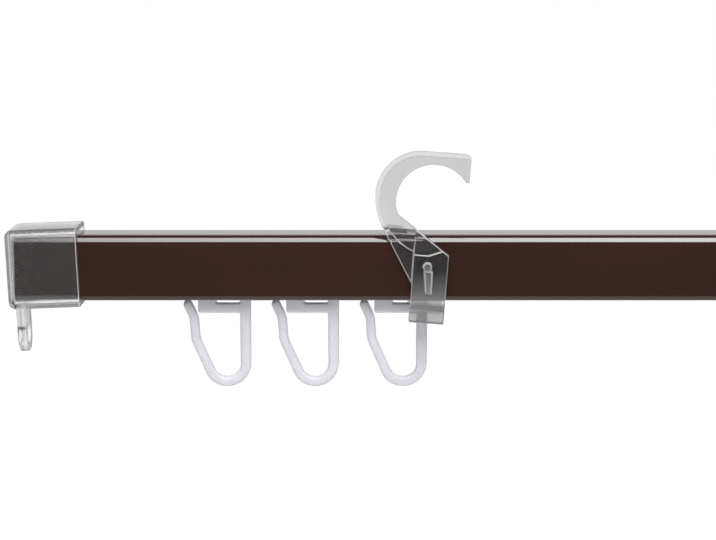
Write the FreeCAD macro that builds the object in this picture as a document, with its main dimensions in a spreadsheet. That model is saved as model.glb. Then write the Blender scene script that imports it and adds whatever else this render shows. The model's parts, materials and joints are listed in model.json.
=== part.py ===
import FreeCAD, Part
import os
import re
import Sketcher
from FreeCAD import Placement, Rotation, Vector

# Curtain track: an inner-run rail with push-on end caps, two clear hanger clips and six hook gliders.
# X runs along the rail, Y from the room to the wall and Z up. The origin is the centre of the left
# hanger clip's seat, on the seat's axis and half way through the hook.

os.makedirs("parts", exist_ok=True)

# Driving dimensions, in millimetres and degrees
SIZES = {
    # Rail: a box section with a slot underneath
    "total_length": 400.0,
    "seat_from_end": 114.55,
    "rail_below_seat": 9.3,
    "rail_height": 17.85,
    "rail_depth": 14.0,
    "rail_wall": 1.0,
    "rail_slot": 5.0,
    "rail_top_radius": 2.5,
    "rail_foot_radius": 1.8,
    "rail_lip_radius": 0.3,
    # Hanger clip: a C-hook above the rail, a front and a back leg, and a barb under each rail lip
    "seat_radius": 10.0,
    "hook_depth": 4.0,
    "hook_rim_width": 1.3,
    "hook_rim_step": 0.8,
    "hook_axis_height": 1.0,
    "hook_crown": 13.2,
    "hook_reach": 15.55,
    "hook_back_radius": 17.0,
    "hook_tip_reach": 9.15,
    "hook_tip_height": 5.8,
    "hook_tip_chamfer": 0.6,
    "hook_wrap_angle": 205.5,
    "clip_gap": 0.2,
    "clip_lean": 4.25,
    "body_left": 4.15,
    "body_right": 5.2,
    "body_front": 3.4,
    "body_foot": 5.45,
    "brow_height": 13.9,
    "brow_rise": 6.6,
    "brow_angle": 4.9,
    "gusset_foot": 22.5,
    "saddle_left": 10.5,
    "saddle_right": 6.3,
    "saddle_thickness": 0.85,
    "saddle_gap": 0.1,
    "back_leg_thickness": 1.6,
    "barb_gap": 0.1,
    "barb_reach": 2.4,
    "barb_lip": 0.6,
    "barb_drop": 1.9,
    "boss_radius": 1.1,
    "boss_height": 0.8,
    "boss_below_brow": 3.0,
    "boss_aside": 1.1,
    "rib_below_boss": 1.54,
    "rib_aside": 0.55,
    "rib_width": 2.1,
    "rib_foot_width": 1.4,
    "rib_length": 6.0,
    "rib_height": 0.6,
    # End cap: a box pushed over the rail's end, with an eye below it
    "cap_length": 19.3,
    "cap_wall": 1.45,
    "cap_end_wall": 1.6,
    "cap_gap": 0.4,
    "cap_end_gap": 0.6,
    "cap_radius": 2.0,
    "cap_bore_radius": 1.2,
    "cap_tilt": 2.2,
    "eye_from_end": 1.4,
    "eye_thickness": 2.4,
    "eye_width": 9.5,
    "eye_hole_radius": 2.3,
    "eye_drop": 8.0,
    # Glider: a hook, a bar and two necks that end in heads inside the rail
    "glider_pitch": 24.05,
    "glider_from_seat": 2.7,
    "wire_width": 3.0,
    "wire_depth": 2.8,
    "wire_chamfer": 0.7,
    "bend_radius": 4.0,
    "turn_height": 18.3,
    "turn_radius": 6.5,
    "turn_thickness": 2.8,
    "limb_angle": 23.0,
    "limb_width": 2.55,
    "knee_reach": 13.65,
    "knee_height": 11.6,
    "bend_reach": 14.0,
    "bend_height": 5.6,
    "tip_reach": 15.7,
    "tip_height": 1.95,
    "bar_length": 12.93,
    "bar_depth": 2.6,
    "bar_top": 1.57,
    "bar_bottom": 4.28,
    "block_length": 4.97,
    "head_length": 5.0,
    "head_width": 9.0,
    "head_height": 1.8,
    "head_chamfer": 0.5,
    "head_gap": 0.1,
}

GLIDERS_A_SIDE = 3

doc = FreeCAD.newDocument("curtain_track")
sizes = doc.addObject("Spreadsheet::Sheet", "sizes")
for row, (alias, value) in enumerate(SIZES.items(), start=1):
    sizes.set(f"A{row}", alias)
    sizes.set(f"B{row}", str(value))
    sizes.setAlias(f"B{row}", alias)
doc.recompute()

# Places that several pieces share, as formulas of the driving dimensions
RAIL_TOP = "(0 - rail_below_seat)"
RAIL_FOOT = f"({RAIL_TOP} - rail_height)"
RAIL_MIDDLE = "(clip_gap + rail_depth / 2)"
LEFT_END = "(0 - seat_from_end)"
RIGHT_END = "(total_length - seat_from_end)"
RIGHT_SEAT = "(total_length - 2 * seat_from_end)"
RAIL_START = f"({LEFT_END} + cap_end_wall + cap_end_gap)"
RAIL_LENGTH = "(total_length - 2 * (cap_end_wall + cap_end_gap))"


def cells(formula):
    """Names the sheet's cell for each alias in a formula."""
    return re.sub(r"[a-z_]+", lambda word: f"sizes.{word[0]}" if word[0] in SIZES else word[0], str(formula))


def number(formula):
    return float(sizes.evalExpression(cells(formula)))


def new_body(name):
    body = doc.addObject("PartDesign::Body", name)
    body.Label = name
    return body


def new_sketch(body, name, role, offset="0", turn="0"):
    """A sketch on one of the body's own planes, moved along its normal and turned in X and Z."""
    sketch = body.newObject("Sketcher::SketchObject", name)
    plane = next(feature for feature in body.Origin.OriginFeatures if feature.Role == role)
    sketch.AttachmentSupport = (plane, [""])
    sketch.MapMode = "FlatFace"
    sketch.AttachmentOffset = Placement(Vector(0, 0, number(offset)), Rotation(Vector(0, 1, 0), number(turn)))
    sketch.setExpression("AttachmentOffset.Base.z", cells(offset))
    sketch.setExpression("AttachmentOffset.Rotation.Angle", cells(turn))
    return sketch


def pin_point(sketch, edge, end, point):
    """Ties a point of a sketch to a pair of formulas."""
    for kind, formula in zip(("DistanceX", "DistanceY"), point):
        index = sketch.addConstraint(Sketcher.Constraint(kind, -1, 1, edge, end, number(formula)))
        sketch.setExpression(f"Constraints[{index}]", cells(formula))


def flat(point):
    return Vector(number(point[0]), number(point[1]), 0)


def arc_between(start, end, centre, clockwise):
    """The arc from one point to another about a centre."""
    first, last = (end, start) if clockwise else (start, end)
    radius = (first - centre).Length
    circle = Part.Circle(centre, Vector(0, 0, 1), radius)
    return Part.ArcOfCircle(circle, circle.parameter(first), circle.parameter(last))


def draw_outline(sketch, corners, arcs=None):
    """Draws a closed outline. Where arcs names a corner's number, the edge that starts there is an arc:
    its entry holds the centre's two formulas and whether the arc runs clockwise."""
    arcs = arcs or {}
    places = [flat(corner) for corner in corners]
    count = len(corners)
    starts = []
    for index, start in enumerate(places):
        end = places[(index + 1) % count]
        if index in arcs:
            centre, clockwise = arcs[index]
            sketch.addGeometry(arc_between(start, end, flat(centre), clockwise), False)
            starts.append((2, 1) if clockwise else (1, 2))
        else:
            sketch.addGeometry(Part.LineSegment(start, end), False)
            starts.append((1, 2))
    for index in range(count):
        following = (index + 1) % count
        sketch.addConstraint(
            Sketcher.Constraint("Coincident", index, starts[index][1], following, starts[following][0])
        )
    for index, corner in enumerate(corners):
        pin_point(sketch, index, starts[index][0], corner)
    for index, (centre, clockwise) in arcs.items():
        # Both ends are tied already, so one coordinate ties the centre: the one across the chord
        chord = places[(index + 1) % count] - places[index]
        kind, formula = ("DistanceX", centre[0]) if abs(chord.y) > abs(chord.x) else ("DistanceY", centre[1])
        tie = sketch.addConstraint(Sketcher.Constraint(kind, -1, 1, index, 3, number(formula)))
        sketch.setExpression(f"Constraints[{tie}]", cells(formula))
    return sketch


def draw_circle(sketch, centre, radius):
    sketch.addGeometry(Part.Circle(flat(centre), Vector(0, 0, 1), number(radius)), False)
    pin_point(sketch, 0, 3, centre)
    size = sketch.addConstraint(Sketcher.Constraint("Radius", 0, number(radius)))
    sketch.setExpression(f"Constraints[{size}]", cells(radius))
    return sketch


def box_corners(left, right, bottom, top):
    return [(left, bottom), (right, bottom), (right, top), (left, top)]


def pad(body, name, sketch, length, other_way=None, middle=False):
    """Pads a sketch along its normal, both ways where a second length is given."""
    feature = body.newObject("PartDesign::Pad", name)
    feature.Profile = sketch
    feature.setExpression("Length", cells(length))
    if other_way is not None:
        feature.SideType = "Two sides"
        feature.setExpression("Length2", cells(other_way))
    if middle:
        feature.SideType = "Symmetric"
    doc.recompute()
    return feature


def pocket(body, name, sketch, length=None, backwards=False):
    """Cuts a sketch out of the body, through it all and both ways where no length is given."""
    before = body.Shape.Volume
    feature = body.newObject("PartDesign::Pocket", name)
    feature.Profile = sketch
    if length is None:
        feature.SideType = "Two sides"
        feature.Type = "ThroughAll"
        feature.Type2 = "ThroughAll"
    else:
        feature.setExpression("Length", cells(length))
        feature.Reversed = backwards
    doc.recompute()
    if body.Shape.Volume > before - 1e-6:
        raise RuntimeError(f"{name} cut nothing")
    return feature


def round_edges(body, name, radius, wanted):
    """Rounds the edges of the body's tip that the test picks."""
    base = body.Tip
    names = [f"Edge{i}" for i, edge in enumerate(base.Shape.Edges, start=1) if wanted(edge)]
    feature = body.newObject("PartDesign::Fillet", name)
    feature.Base = (base, names)
    feature.setExpression("Radius", cells(radius))
    doc.recompute()
    return feature


def chamfer_edges(body, name, size, wanted):
    """Chamfers the edges of the body's tip that the test picks."""
    base = body.Tip
    names = [f"Edge{i}" for i, edge in enumerate(base.Shape.Edges, start=1) if wanted(edge)]
    feature = body.newObject("PartDesign::Chamfer", name)
    feature.Base = (base, names)
    feature.setExpression("Size", cells(size))
    doc.recompute()
    return feature


def place(body, x, angle="0", z="0", pivot_x="0", pivot_z="0"):
    """Puts a body at its place, turned by an angle about the Y axis through a pivot."""
    body.Placement = Placement(Vector(number(x), 0, number(z)), Rotation(Vector(0, 1, 0), number(angle)))
    turned_x = f"{pivot_x} * cos({angle}) + {pivot_z} * sin({angle})"
    turned_z = f"{pivot_z} * cos({angle}) - {pivot_x} * sin({angle})"
    body.setExpression("Placement.Base.x", cells(f"{x} + {pivot_x} - ({turned_x})"))
    body.setExpression("Placement.Base.z", cells(f"{z} + {pivot_z} - ({turned_z})"))
    body.setExpression("Placement.Rotation.Angle", cells(angle))


def runs_along(edge, axis):
    """Tells whether an edge is straight and parallel to an axis."""
    if edge.Degenerated or edge.Curve.TypeId != "Part::GeomLine":
        return False
    return abs(edge.tangentAt(edge.FirstParameter).dot(axis)) > 0.999


def lies_at(edge, y=None, z=None, x=None):
    """Tells whether an edge's middle lies at the given places."""
    middle = edge.valueAt((edge.FirstParameter + edge.LastParameter) / 2)
    wanted = ((middle.x, x), (middle.y, y), (middle.z, z))
    return all(target is None or abs(found - target) < 0.01 for found, target in wanted)


AXIS_X = Vector(1, 0, 0)
AXIS_Y = Vector(0, 1, 0)


def make_rail():
    """The rail: one wall folded round a hollow, open along a slot underneath."""
    body = new_body("rail")
    sketch = new_sketch(body, "rail_section", "YZ_Plane", RAIL_START)
    front = "clip_gap"
    back = "(clip_gap + rail_depth)"
    slot_front = f"({RAIL_MIDDLE} - rail_slot / 2)"
    slot_back = f"({RAIL_MIDDLE} + rail_slot / 2)"
    inner_foot = f"{RAIL_FOOT} + rail_wall"
    inner_top = f"{RAIL_TOP} - rail_wall"
    draw_outline(sketch, [
        (front, RAIL_FOOT),
        (slot_front, RAIL_FOOT),
        (slot_front, inner_foot),
        (f"{front} + rail_wall", inner_foot),
        (f"{front} + rail_wall", inner_top),
        (f"{back} - rail_wall", inner_top),
        (f"{back} - rail_wall", inner_foot),
        (slot_back, inner_foot),
        (slot_back, RAIL_FOOT),
        (back, RAIL_FOOT),
        (back, RAIL_TOP),
        (front, RAIL_TOP),
    ])
    pad(body, "rail_length", sketch, RAIL_LENGTH)
    near_y, far_y = number(front), number(back)
    foot, top, wall = number(RAIL_FOOT), number(RAIL_TOP), number("rail_wall")
    lips = (number(slot_front), number(slot_back))

    def corner(edge, heights, inset):
        sides = (near_y + inset, far_y - inset)
        return runs_along(edge, AXIS_X) and any(lies_at(edge, y, z) for y in sides for z in heights)

    round_edges(body, "rail_top_corners", "rail_top_radius", lambda e: corner(e, [top], 0))
    round_edges(body, "rail_foot_corners", "rail_foot_radius", lambda e: corner(e, [foot], 0))
    round_edges(body, "rail_top_inside", "rail_top_radius - rail_wall", lambda e: corner(e, [top - wall], wall))
    round_edges(body, "rail_foot_inside", "rail_foot_radius - rail_wall", lambda e: corner(e, [foot + wall], wall))
    round_edges(
        body, "rail_lips", "rail_lip_radius",
        lambda e: runs_along(e, AXIS_X) and any(lies_at(e, y, z) for y in lips for z in (foot, foot + wall)),
    )
    return body


def make_cap(name, mirrored):
    """An end cap: a box with one open end and an eye in a tab below its closed end."""
    body = new_body(name)
    side = -1 if mirrored else 1
    outer = "(cap_wall + cap_gap)"
    front = f"(clip_gap - {outer})"
    back = f"(clip_gap + rail_depth + {outer})"
    foot = f"({RAIL_FOOT} - {outer})"
    top = f"({RAIL_TOP} + {outer})"

    def along(inset):
        return f"{side} * ({inset})"

    sketch = new_sketch(body, "cap_outside", "YZ_Plane")
    draw_outline(sketch, box_corners(front, back, foot, top))
    box = pad(body, "cap_block", sketch, "cap_length")
    box.Reversed = mirrored
    doc.recompute()
    mouth = number(along("cap_length"))
    round_edges(body, "cap_edges", "cap_radius", lambda e: not lies_at(e, x=mouth))
    inside = new_sketch(body, "cap_inside", "YZ_Plane", along("cap_length"))
    draw_outline(inside, box_corners(
        f"{front} + cap_wall", f"{back} - cap_wall", f"{foot} + cap_wall", f"{top} - cap_wall"
    ))
    pocket(body, "cap_hollow", inside, "cap_length - cap_end_wall", backwards=mirrored)
    inner_z = (number(foot) + number("cap_wall"), number(top) - number("cap_wall"))
    inner_y = (number(front) + number("cap_wall"), number(back) - number("cap_wall"))
    round_edges(
        body, "cap_hollow_corners", "cap_bore_radius",
        lambda e: runs_along(e, AXIS_X) and any(lies_at(e, y, z) for y in inner_y for z in inner_z),
    )
    eye_height = f"({foot} - eye_drop)"
    half = "eye_width / 2"
    tab = new_sketch(body, "eye_tab_outline", "YZ_Plane", along("eye_from_end"))
    draw_outline(tab, [
        (f"{RAIL_MIDDLE} - {half}", f"{foot} + cap_wall / 2"),
        (f"{RAIL_MIDDLE} - {half}", eye_height),
        (f"{RAIL_MIDDLE} + {half}", eye_height),
        (f"{RAIL_MIDDLE} + {half}", f"{foot} + cap_wall / 2"),
    ], {1: ((RAIL_MIDDLE, eye_height), False)})
    eye = pad(body, "eye_tab", tab, "eye_thickness")
    eye.Reversed = mirrored
    doc.recompute()
    hole = new_sketch(body, "eye_hole_outline", "YZ_Plane", along("eye_from_end"))
    draw_circle(hole, (RAIL_MIDDLE, eye_height), "eye_hole_radius")
    pocket(body, "eye_hole", hole)
    middle_x = along("cap_length / 2 + cap_end_wall / 2")
    middle_z = f"({RAIL_TOP} - rail_height / 2)"
    if mirrored:
        place(body, RIGHT_END)
    else:
        place(body, LEFT_END, "(0 - cap_tilt)", "0", middle_x, middle_z)
    return body


def hook_wrap_end():
    """The point where the seat's arc runs out into the straight edge of the tail."""
    return "(seat_radius * cos(hook_wrap_angle))", "(seat_radius * sin(hook_wrap_angle))"


def tail_edge_height():
    """Where the tail's straight edge meets the body's left side."""
    wrap_x, wrap_z = hook_wrap_end()
    slope = f"((0 - brow_height - {wrap_z}) / (body_right - {wrap_x}))"
    return f"({wrap_z} + {slope} * (0 - body_left - {wrap_x}))"


def hook_inner_corners():
    """The hook's inner side from the tail's edge round the seat to the tip."""
    return [
        ("0 - body_left", tail_edge_height()),
        hook_wrap_end(),
        ("sqrt(seat_radius ^ 2 - hook_tip_height ^ 2)", "hook_tip_height"),
        ("hook_tip_reach", "hook_tip_height"),
    ]


def draw_hook_web(sketch):
    """The hook's full outline, with the gusset that runs down in front of the rail."""
    shoulder = "(hook_crown - hook_axis_height)"
    back_centre = "(hook_back_radius - hook_reach)"
    foot = ("0 - body_left", "0 - gusset_foot")
    # The gusset's edge leaves the hook's back along a tangent
    reach_x = f"({back_centre} + body_left)"
    reach_z = "(hook_axis_height + gusset_foot)"
    distance = f"sqrt({reach_x} ^ 2 + {reach_z} ^ 2)"
    turn = f"(180 deg + atan({reach_z} / {reach_x}) - acos(hook_back_radius / {distance}))"
    tangent = (
        f"{back_centre} + hook_back_radius * cos({turn})",
        f"hook_axis_height + hook_back_radius * sin({turn})",
    )
    corners = hook_inner_corners() + [
        ("hook_tip_reach", "hook_crown - hook_tip_chamfer"),
        ("hook_tip_reach - 2 * hook_tip_chamfer", "hook_crown"),
        (f"{shoulder} - hook_reach", "hook_crown"),
        ("0 - hook_reach", "hook_axis_height"),
        tangent,
        foot,
    ]
    return draw_outline(sketch, corners, {
        1: (("0", "0"), True),
        6: ((f"{shoulder} - hook_reach", "hook_axis_height"), False),
        7: ((back_centre, "hook_axis_height"), False),
    })


def draw_hook_core(sketch):
    """The thicker part of the hook, inside its rim."""
    shoulder = "(hook_crown - hook_axis_height)"
    centre_x = f"({shoulder} - hook_reach)"
    back_centre = "(hook_back_radius - hook_reach)"
    back = "(hook_back_radius - hook_rim_width)"
    crown = "hook_crown - hook_rim_width"
    corners = hook_inner_corners() + [
        ("hook_tip_reach", crown),
        (centre_x, crown),
        ("hook_rim_width - hook_reach", "hook_axis_height"),
        ("0 - body_left", f"hook_axis_height - sqrt({back} ^ 2 - ({back_centre} + body_left) ^ 2)"),
    ]
    return draw_outline(sketch, corners, {
        1: (("0", "0"), True),
        5: ((centre_x, "hook_axis_height"), False),
        6: ((back_centre, "hook_axis_height"), False),
    })


def make_clip(name, seat, lean):
    """A hanger clip, one clear moulding, upright in its own frame with the seat's axis at the origin."""
    body = new_body(name)
    inner_depth = "(rail_depth + 2 * clip_gap)"
    channel_top = f"({RAIL_TOP} + saddle_gap)"
    # The barbs clear the rail's foot while the clip leans
    barb_top = f"({RAIL_FOOT} / cos(clip_lean) - body_left * tan(clip_lean) - barb_gap)"
    foot = f"({RAIL_FOOT} - body_foot)"
    saddle_top = f"({channel_top} + saddle_thickness)"
    rim_front = "(hook_depth / 2 - hook_rim_step)"

    web = draw_hook_web(new_sketch(body, "web_outline", "XZ_Plane"))
    pad(body, "web", web, rim_front, rim_front)
    core = draw_hook_core(new_sketch(body, "core_outline", "XZ_Plane"))
    pad(body, "core", core, "hook_depth / 2", "hook_depth / 2")
    front = draw_outline(new_sketch(body, "front_outline", "XZ_Plane"), [
        ("0 - body_left", foot),
        ("body_right", foot),
        ("body_right", "0 - brow_height"),
        ("0 - body_left", tail_edge_height()),
    ])
    pad(body, "front_leg", front, "body_front")

    # The brow slopes from the tail's face out to the body's face
    brow = new_sketch(body, "brow_cut_outline", "YZ_Plane", "0", "0 - brow_angle")
    level = "(0 - brow_height * cos(brow_angle) - body_right * sin(brow_angle))"
    clear_of_front = "(0 - body_front - hook_depth)"
    draw_outline(brow, [
        ("0 - body_front", level),
        ("0 - hook_depth / 2", f"{level} + brow_rise"),
        ("0 - hook_depth / 2", "0"),
        (clear_of_front, "0"),
        (clear_of_front, level),
    ])
    pocket(body, "brow_cut", brow)

    # The rail's channel, and the saddle and back leg behind it
    channel = draw_outline(new_sketch(body, "channel_outline", "YZ_Plane"),
                           box_corners("0", inner_depth, f"{foot} - body_foot", channel_top))
    pocket(body, "channel", channel)
    saddle = draw_outline(new_sketch(body, "saddle_outline", "XZ_Plane"),
                          box_corners("0 - saddle_left", "0 - saddle_right", channel_top, saddle_top))
    saddle_pad = pad(body, "saddle", saddle, f"{inner_depth} + back_leg_thickness")
    saddle_pad.Reversed = True
    doc.recompute()
    back = draw_outline(new_sketch(body, "back_outline", "XZ_Plane", f"0 - {inner_depth}"), [
        ("0 - saddle_left", saddle_top),
        ("0 - body_left", "0 - gusset_foot"),
        ("0 - body_left", foot),
        ("body_right", foot),
        ("body_right", "0 - brow_height"),
        ("0 - saddle_right", f"{RAIL_TOP} - saddle_thickness"),
        ("0 - saddle_right", saddle_top),
    ])
    back_pad = pad(body, "back_leg", back, "back_leg_thickness")
    back_pad.Reversed = True
    doc.recompute()
    for side, near, reach in (
        ("front", "0", "barb_reach"),
        ("back", inner_depth, f"{inner_depth} - barb_reach"),
    ):
        barb = new_sketch(body, f"{side}_barb_outline", "YZ_Plane", "0 - body_left")
        draw_outline(barb, [
            (near, barb_top),
            (reach, barb_top),
            (reach, f"{barb_top} - barb_lip"),
            (near, f"{barb_top} - barb_drop"),
        ])
        pad(body, f"{side}_barb", barb, "body_left + body_right")

    # A small boss and a tapered rib stand on the body's face
    boss_height = "(0 - brow_height - boss_below_brow)"
    middle = "(body_right - body_left) / 2"
    boss = new_sketch(body, "boss_outline", "XZ_Plane", "body_front")
    draw_circle(boss, (f"{middle} - boss_aside", boss_height), "boss_radius")
    pad(body, "boss", boss, "boss_height")
    rib = new_sketch(body, "rib_outline", "XZ_Plane", "body_front")
    rib_top = f"({boss_height} - rib_below_boss)"
    draw_outline(rib, [
        (f"{middle} - rib_foot_width / 2", f"{rib_top} - rib_length"),
        (f"{middle} + rib_foot_width / 2", f"{rib_top} - rib_length"),
        (f"{middle} + rib_width / 2 - rib_aside", rib_top),
        (f"{middle} - rib_width / 2 - rib_aside", rib_top),
    ])
    pad(body, "rib", rib, "rib_height")
    place(body, seat, lean)
    return body


def draw_glider_hook(sketch):
    """The hook's outline: the shank, the turn, the leaning limb, its knee and the rounded tip."""
    half = "wire_width / 2"
    inner_radius = "(turn_radius - turn_thickness)"
    turn_x = "(wire_width / 2 - turn_radius)"
    inner_x = f"(0 - {half} - {inner_radius})"
    limb = "limb_width / 2"
    knee_in = (f"{limb} - knee_reach", "0 - knee_height")
    knee_out = (f"0 - knee_reach - {limb}", f"0 - knee_height - {limb} * tan(limb_angle / 2)")
    bend_in = (f"{limb} - bend_reach", f"0 - bend_height - {limb} * tan(limb_angle / 2)")
    bend_out = (f"0 - bend_reach - {limb}", "0 - bend_height")
    tip_in = (f"{limb} * cos(limb_angle) - tip_reach", f"{limb} * sin(limb_angle) - tip_height")
    tip_out = (f"0 - {limb} * cos(limb_angle) - tip_reach", f"0 - {limb} * sin(limb_angle) - tip_height")
    corners = [
        (half, "0"),
        (f"0 - {half}", "0"),
        (f"0 - {half}", "0 - turn_height"),
        (f"{inner_x} - {inner_radius} * cos(limb_angle)", f"0 - turn_height - {inner_radius} * sin(limb_angle)"),
        knee_in,
        bend_in,
        tip_in,
        tip_out,
        bend_out,
        knee_out,
        (f"{turn_x} - turn_radius * cos(limb_angle)", "0 - turn_height - turn_radius * sin(limb_angle)"),
        (half, "0 - turn_height"),
    ]
    return draw_outline(sketch, corners, {
        2: ((inner_x, "0 - turn_height"), True),
        6: (("0 - tip_reach", "0 - tip_height"), False),
        10: ((turn_x, "0 - turn_height"), False),
    })


def make_glider(name, shank_x):
    """A glider, one moulding. Its own frame has the shank's axis at X = 0 and the rail's foot at Z = 0."""
    body = new_body(name)
    middle = f"(0 - {RAIL_MIDDLE})"
    hook = draw_glider_hook(new_sketch(body, "hook_outline", "XZ_Plane", middle))
    pad(body, "hook", hook, "wire_depth", middle=True)
    bends = [
        (number("limb_width / 2 - knee_reach"), number("0 - knee_height")),
        (number("0 - knee_reach - limb_width / 2"), number("0 - knee_height - limb_width / 2 * tan(limb_angle / 2)")),
        (number("limb_width / 2 - bend_reach"), number("0 - bend_height - limb_width / 2 * tan(limb_angle / 2)")),
        (number("0 - bend_reach - limb_width / 2"), number("0 - bend_height")),
    ]
    round_edges(
        body, "hook_bends", "bend_radius",
        lambda e: runs_along(e, AXIS_Y) and any(lies_at(e, x=x, z=z) for x, z in bends),
    )
    faces = [number(f"{RAIL_MIDDLE} - wire_depth / 2"), number(f"{RAIL_MIDDLE} + wire_depth / 2")]
    chamfer_edges(
        body, "hook_chamfers", "wire_chamfer",
        lambda e: any(lies_at(e, y=y) for y in faces) and not lies_at(e, z=0),
    )
    bar = draw_outline(new_sketch(body, "bar_outline", "XZ_Plane", middle),
                       box_corners("0 - bar_length", "0", "0 - bar_bottom", "0 - bar_top"))
    pad(body, "bar", bar, "bar_depth", middle=True)
    block_right = "(block_length - bar_length)"
    head_foot = "(rail_wall + head_gap)"
    for side, left, right in (
        ("block", "0 - bar_length", block_right),
        ("shank", "0 - wire_width / 2", "wire_width / 2"),
    ):
        neck = draw_outline(new_sketch(body, f"{side}_neck_outline", "XZ_Plane", middle),
                            box_corners(left, right, "0 - bar_bottom", head_foot))
        pad(body, f"{side}_neck", neck, "bar_depth", middle=True)
        centre = f"(({left}) + ({right})) / 2"
        head = draw_outline(new_sketch(body, f"{side}_head_outline", "XZ_Plane", middle), [
            (f"{centre} - head_length / 2", head_foot),
            (f"{centre} + head_length / 2", head_foot),
            (f"{centre} + head_length / 2", f"{head_foot} + head_height - head_chamfer"),
            (f"{centre} + head_length / 2 - head_chamfer", f"{head_foot} + head_height"),
            (f"{centre} - head_length / 2 + head_chamfer", f"{head_foot} + head_height"),
            (f"{centre} - head_length / 2", f"{head_foot} + head_height - head_chamfer"),
        ])
        pad(body, f"{side}_head", head, "head_width", middle=True)
    place(body, shank_x, z=RAIL_FOOT)
    return body


def glider_places():
    """The shank's place for each glider: three by each clip, all hooks opening to the left."""
    places = []
    for index in range(GLIDERS_A_SIDE):
        places.append(f"0 - glider_from_seat - {GLIDERS_A_SIDE - 1 - index} * glider_pitch")
    for index in range(GLIDERS_A_SIDE):
        places.append(f"{RIGHT_SEAT} + glider_from_seat + tip_reach + {index} * glider_pitch")
    return places


pieces = [
    make_rail(),
    make_cap("left_end_cap", False),
    make_cap("right_end_cap", True),
    make_clip("left_hanger_clip", "0", "clip_lean"),
    make_clip("right_hanger_clip", RIGHT_SEAT, "0"),
]
for count, shank in enumerate(glider_places(), start=1):
    pieces.append(make_glider(f"glider_{count}", shank))
doc.recompute()

for item in doc.Objects:
    if "Invalid" in item.State or "Error" in item.State:
        raise RuntimeError(f"{item.Label} is {item.State}")
for piece in pieces:
    if piece.Shape.isNull() or not piece.Shape.isValid() or len(piece.Shape.Solids) != 1:
        raise RuntimeError(f"{piece.Label} is not one valid solid")
for piece in pieces:
    piece.Shape.exportStep(f"parts/{piece.Label}.step")
    box = piece.Shape.BoundBox
    print(f"{piece.Label}: {piece.Shape.Volume:.1f} mm3, x {box.XMin:.2f} to {box.XMax:.2f}, "
          f"y {box.YMin:.2f} to {box.YMax:.2f}, z {box.ZMin:.2f} to {box.ZMax:.2f}")
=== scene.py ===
import json
import math

import bmesh
import bpy
import numpy as np
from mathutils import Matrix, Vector


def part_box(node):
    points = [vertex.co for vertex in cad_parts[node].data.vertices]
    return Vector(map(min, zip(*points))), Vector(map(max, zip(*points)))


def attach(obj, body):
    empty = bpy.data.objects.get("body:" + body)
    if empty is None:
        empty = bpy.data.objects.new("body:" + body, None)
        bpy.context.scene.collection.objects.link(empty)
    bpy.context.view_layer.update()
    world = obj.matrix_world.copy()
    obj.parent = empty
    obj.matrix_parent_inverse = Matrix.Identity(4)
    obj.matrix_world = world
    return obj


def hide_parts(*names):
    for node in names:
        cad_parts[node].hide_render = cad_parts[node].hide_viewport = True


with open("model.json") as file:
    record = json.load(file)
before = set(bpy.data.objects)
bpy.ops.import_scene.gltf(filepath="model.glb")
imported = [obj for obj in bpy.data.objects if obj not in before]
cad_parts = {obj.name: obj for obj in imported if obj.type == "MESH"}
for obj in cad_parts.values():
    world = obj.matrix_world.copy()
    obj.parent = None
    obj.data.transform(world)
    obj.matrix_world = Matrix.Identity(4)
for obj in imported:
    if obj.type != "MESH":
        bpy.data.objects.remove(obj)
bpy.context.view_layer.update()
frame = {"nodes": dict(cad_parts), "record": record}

bl_info = {
    "name": "Curtain Track",
    "version": (1, 0, 0),
    "blender": (4, 5, 0),
    "location": "View3D > Sidebar > Track",
    "description":
        "Builds a curtain track: a gloss rail, clear caps and hanger clips, and milky gliders",
    "category": "Object",
}

# All lengths are metres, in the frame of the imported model
MM = 0.001
LEFT_CAP, RIGHT_CAP = "left_end_cap", "right_end_cap"
LEFT_CLIP, RIGHT_CLIP = "left_hanger_clip", "right_hanger_clip"
GLIDERS = sorted(name for name in frame["nodes"] if name.startswith("glider_"))
TRACK = "track"
RAIL_LOW, RAIL_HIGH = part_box("rail")
RAIL_MIDDLE = (RAIL_LOW.y + RAIL_HIGH.y) / 2
MOUNT_PLACES = {mount["name"]: mount["pos_m"] for mount in frame["record"]["mounts"]}
SEAT_X = {
    LEFT_CLIP: MOUNT_PLACES["left_hook_seat"][0],
    RIGHT_CLIP: MOUNT_PLACES["right_hook_seat"][0],
}

# The camera, found from the photograph: metres, degrees, and its focal length in pixels
CAMERA_PLACE = (-20.1 * MM, -509.2 * MM, 62.1 * MM)
CAMERA_PITCH = 9.0
FOCAL_PIXELS = 1920.0
IMAGE_WIDTH = 716
SENSOR_WIDTH = 36.0
NEAREST_SEEN = 10 * MM

# The floor's sides and height: metres
FLOOR_WIDTH = 12.0
FLOOR_FRONT, FLOOR_BACK = -1.2, 6.0
FLOOR_HEIGHT = -0.45

# The floor's white: the camera's share of it against the lit floor, its strength, its strength in a
# gloss, and between which places along Y a gloss or a mirrored view starts to show it
FLOOR_SHARE = 0.9
FLOOR_GLOW = 1.08
FLOOR_GLOSS = 0.5
FLOOR_DIM, FLOOR_WHITE = -1.0, -0.35

# The room's light, the dark in front of the track, and the backdrop in a gloss: shares of white
ROOM_LEVEL = 0.47
ROOM_DARK = 0.04
BACKDROP_GLOSS = 0.9

# How the room changes from front to back: the direction's share along +Y
GLOSS_TURN = (0.55, 0.85)
SIDE_TURN = (-0.85, -0.4)
BACKDROP_TURN = (0.0, 0.45)

# The rail's mesh: steps in its arcs, the longest step of its straight runs in metres, its rings
# along X, and the angle in degrees past which an edge is sharp
TOP_STEPS, FOOT_STEPS, LIP_STEPS = 14, 10, 4
RUN_STEP = 0.6 * MM
RAIL_RINGS = 41
RAIL_SHARP = 35

# Points of a CAD node closer than this become one, and so do faces that turn less than this:
# metres and degrees
WELD = 0.002 * MM
FLAT_TURN = 0.4

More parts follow.
